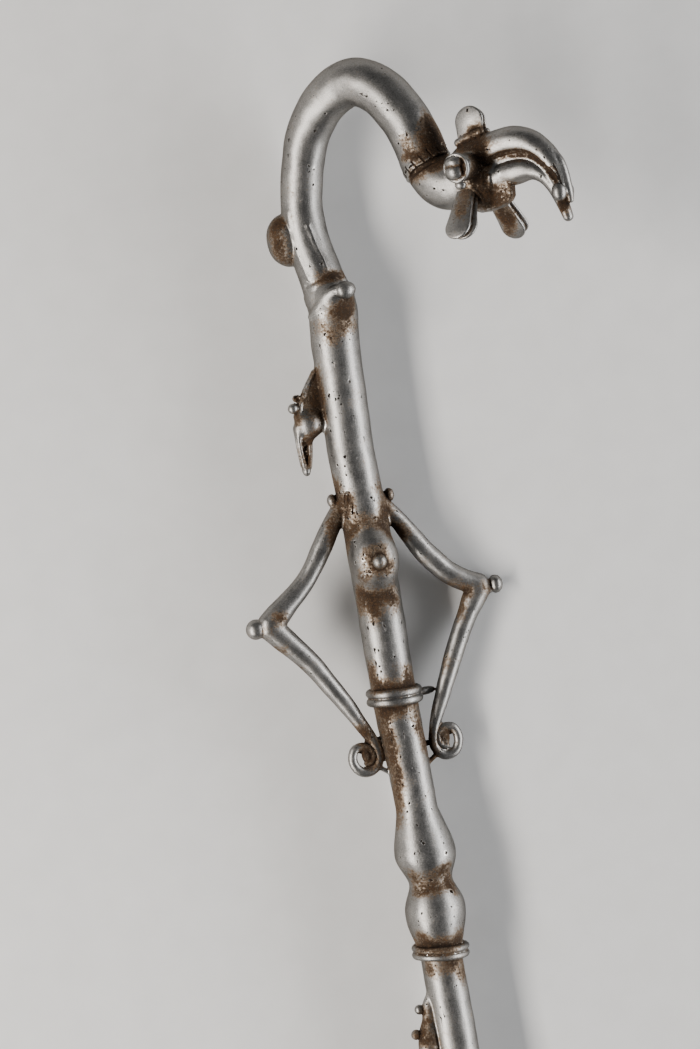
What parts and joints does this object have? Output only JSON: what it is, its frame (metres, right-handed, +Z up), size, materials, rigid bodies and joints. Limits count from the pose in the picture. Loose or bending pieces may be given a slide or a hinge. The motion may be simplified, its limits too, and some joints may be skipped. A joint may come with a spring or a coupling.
{
  "type": "ceremonial staff",
  "caption": "Cast metal ceremonial staff with a crook ending in a long-beaked animal head, bent arms with coiled ends, bosses, knops and ring mouldings.",
  "frame": {"origin": "middle of the bounding box, on the surface the staff lies on", "axes": "+Y along the shaft from the foot to the crook, +Z up from the surface it lies on, +X to the side that the head points to"},
  "size_m": [0.188, 1.1498, 0.1023],
  "materials": {
    "cast_white_metal": "satin cast metal, rubbed bright on the high places, with casting pits and brown dirt in the recesses"
  },
  "bodies": {
    "root": {"cast_staff": "cast_white_metal"}
  },
  "joints": []
}
